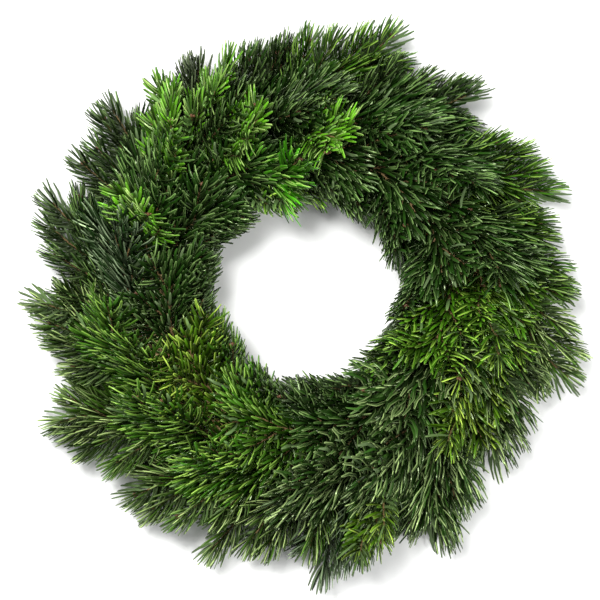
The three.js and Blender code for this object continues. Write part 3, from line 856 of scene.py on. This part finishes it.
# Each foot bears a copy of the straight needle, which takes along what it is bent by.
feet = store(feet, "draw", random_value(feet, 0.0, 1.0, seed + 7))
feet = store(feet, "foot", feet.node("GeometryNodeInputPosition"), "FLOAT_VECTOR")
feet = store(feet, "run", direction * length, "FLOAT_VECTOR")
feet = store(feet, "bow", bow * length, "FLOAT_VECTOR")
feet = store(feet, "bend", given["Curl"] * random_value(feet, *CURL_DRAWS, seed + 6))
pointing = feet.node("FunctionNodeAlignRotationToVector", {"axis": "Z"}, {"Vector": direction})
pointing = feet.node("FunctionNodeAlignRotationToVector", {"axis": "Y", "pivot_axis": "Z"}, {
    0: pointing, "Vector": upper_side,
})
width = given["Needle Width"] * random_value(feet, *WIDTH_DRAWS, seed + 8)
size = feet.node("ShaderNodeCombineXYZ", sockets={0: width, 1: width * NEEDLE_THICKNESS, 2: length})
needle = feet.node("GeometryNodeObjectInfo", sockets={0: given["Needle"]}, output="Geometry")
needles = feet.node("GeometryNodeInstanceOnPoints", sockets={
    0: feet, "Instance": needle, "Rotation": pointing, "Scale": size,
})
needles = feet.node("GeometryNodeRealizeInstances", sockets={0: needles})

# The middle line of a needle goes onto an arc, and the rest of it turns with the arc.
foot = stored(feet, "foot", "FLOAT_VECTOR")
run = stored(feet, "run", "FLOAT_VECTOR")
bow = stored(feet, "bow", "FLOAT_VECTOR")
along = stored(feet, "along")
bend = stored(feet, "bend")
bent = bend * along
from_middle = feet.node("GeometryNodeInputPosition") - foot - run * along
from_middle = feet.node("ShaderNodeVectorRotate", sockets={
    "Vector": from_middle, "Axis": run.vector("CROSS_PRODUCT", bow), "Angle": bent,
})
middle = foot + run * (bent.math("SINE") / bend) + bow * ((1 - bent.math("COSINE")) / bend)
needles = feet.node("GeometryNodeSetPosition", sockets={0: needles, "Position": middle + from_middle})
place = feet.node("ShaderNodeSeparateXYZ", sockets={0: feet.node("GeometryNodeInputPosition")})
raised = feet.node("ShaderNodeCombineXYZ", sockets={
    0: place.sibling("X"), 1: place.sibling("Y"), 2: place.sibling("Z").math("MAXIMUM", LOWEST_NEEDLE),
})
needles = feet.node("GeometryNodeSetPosition", sockets={0: needles, "Position": raised})

# Some of the shoots end in a group of buds.
has_buds = random_value(shoots, 0.0, 1.0, seed + 9).math("LESS_THAN", given["Budded Share"])
is_end = stored(shoots, "share").math("GREATER_THAN", END_SHARE) * has_buds
ending = shoots.node("FunctionNodeAlignRotationToVector", {"axis": "Z"}, {
    "Vector": stored(shoots, "forward", "FLOAT_VECTOR"),
})
bud_shape = shoots.node("GeometryNodeObjectInfo", sockets={0: given["Buds"]}, output="Geometry")
buds = shoots.node("GeometryNodeInstanceOnPoints", sockets={
    0: shoots, "Selection": is_end, "Instance": bud_shape, "Rotation": ending, "Scale": given["Bud Size"],
})
end_shape_tree([
    finish_part(twigs, given["Bark Finish"]),
    finish_part(needles, given["Needle Finish"]),
    finish_part(buds, given["Bud Finish"]),
])

# The finishes: waxy needles, rough tan bark and shiny scaled buds. A leaf's colour is multiplied by the
# shades below: a random shade makes the needles differ, and painted shade leaves their feet and the
# inner ends of the shoots dark between them. Pale margins and tips are partly the needles' own and partly
# a painted glint.
DARKEST_SHADE = 0.1
LIGHTEST_SHADE = 2.75
# The foot and inner values below are painted shade, which darkens the needles' feet and the shoots' inner
# ends.
PAINTED_FOOT_SHADE = 0.06
PAINTED_INNER_SHADE = 0.1
OWN_TONE = 0.7
PAINTED_FOOT_SHADE_FADE = 1.6
PAINTED_INNER_SHADE_SHARE = 0.5
UNDERSIDE_SILVER = 0.75
GLINT_STEP = 6.7
MARGIN_GLINT = 1.3
TIP_GLINT = 0.4
SILVER_WAX = (0.26, 0.36, 0.17)
SHEEN_TINT = (0.8, 1, 0.55, 1)
BARK_DARK = (0.05, 0.03, 0.012, 1)
BARK_TAN = (0.23, 0.14, 0.045, 1)
BUD_RED = (0.22, 0.1, 0.035, 1)
BUD_BROWN = (0.09, 0.04, 0.02, 1)


def make_needle_finish(kind):
    """Fir needles, each lighter or darker, with painted shade at their feet and the shoots' feet, pale
    margins and tips partly painted as a glint, and silvery undersides.
    """
    finish, shader, here = start_material(f"{kind}_fir_needles", 0.4)
    leaf = Vector(KINDS[kind]["leaf"])
    tip = Vector(KINDS[kind]["tip"])
    each = read_attribute(here, "draw")
    along = read_attribute(here, "along")
    underside = read_attribute(here, "underside")
    margin = read_attribute(here, "margin")
    tone = read_attribute(here, "tone")
    share = read_attribute(here, "share")
    shade = (each * OWN_TONE + tone * (1 - OWN_TONE)) ** 2
    body = mix_colours(shade, (*leaf * DARKEST_SHADE, 1), (*leaf * LIGHTEST_SHADE, 1))
    # Painted highlight: a random glint paints the margins and tips of some needles in the pale tip
    # colour, which is partly their own paler margin.
    glint = (each * GLINT_STEP).math("FRACT") ** 3
    pale_margin_and_glint = margin * glint * MARGIN_GLINT + along ** 3 * glint * TIP_GLINT
    colour = mix_colours(pale_margin_and_glint, body, (*tip, 1))
    # Painted shade: each needle darkens towards its foot, where shade falls between the needles.
    painted_foot_shade = (1 - along * PAINTED_FOOT_SHADE_FADE).math("MAXIMUM", 0) ** 0.8
    colour = mix_colours(painted_foot_shade, colour, (*leaf * PAINTED_FOOT_SHADE, 1))
    # Painted shade: needles darken towards each shoot's foot, where the shoots overlap.
    colour = mix_colours((1 - share) * PAINTED_INNER_SHADE_SHARE, colour, (*leaf * PAINTED_INNER_SHADE, 1))
    silver = leaf.lerp(Vector(SILVER_WAX), 0.4)
    colour = mix_colours(underside * UNDERSIDE_SILVER, colour, (*silver, 1))
    feed(shader, "Base Color", colour)
    feed(shader, "Roughness", each * 0.12 + underside * 0.25 + 0.2)
    shader.inputs["Specular Tint"].default_value = SHEEN_TINT
    return finish


bark_finish, shader, here = start_material("tan_bark", 0.75)
knots = here.node("ShaderNodeTexNoise", sockets={"Scale": 420, "Detail": 3})
feed(shader, "Base Color", mix_colours(knots * 1.6 - 0.3, BARK_DARK, BARK_TAN))
feed(shader, "Normal", bump_normal(knots, 0.5, 0.4 * MM))

bud_finish, shader, here = start_material("resinous_buds", 0.35)
scales = here.node("ShaderNodeTexVoronoi", sockets={"Scale": 700})
feed(shader, "Base Color", mix_colours(scales * 1.4, BUD_RED, BUD_BROWN))
feed(shader, "Normal", bump_normal(scales, 0.6, 0.4 * MM))

# Each spray of the CAD model is replaced by one plain mesh of bark, needles and buds, which grow on
# its shoots. The needle and the buds that they are copied from are then removed.
BUD_SIZE = 3.4 * MM
BUDDED_SHARE = 0.35
FLOOR_GAP = 1.2 * MM
SEED_STEP = 100
needle_object = make_needle()
buds_object = make_buds()
needle_finishes = {kind: make_needle_finish(kind) for kind in KINDS}
for number, spray in enumerate(sprays):
    kind = kind_of(spray)
    needle_length = kind["length"] * spray["growth"] * MM
    needle_spacing = kind["spacing"] * spray["spacing"] * MM
    mesh = shoots_mesh(spray["name"] + "_shoots", spray_shoots(spray))
    foliage = grow(spray["name"] + "_foliage", mesh, fir_tree, {
        "Needle": needle_object, "Buds": buds_object,
        "Needle Length": needle_length, "Needle Width": kind["width"] * MM,
        "Needle Spacing": needle_spacing, "Lean at Foot": radians(kind["lean"][0]),
        "Lean at Tip": radians(kind["lean"][1]), "Parting": kind["parting"],
        "Top Gap": kind["top_gap"], "Curl": kind["curl"], "Bud Size": BUD_SIZE,
        "Budded Share": BUDDED_SHARE, "Floor Gap": FLOOR_GAP, "Seed": SEED_STEP * number,
        "Needle Finish": needle_finishes[spray["kind"]], "Bark Finish": bark_finish,
        "Bud Finish": bud_finish,
    })
    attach(foliage, "root")
    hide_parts(spray["name"])
bpy.data.objects.remove(needle_object)
bpy.data.objects.remove(buds_object)
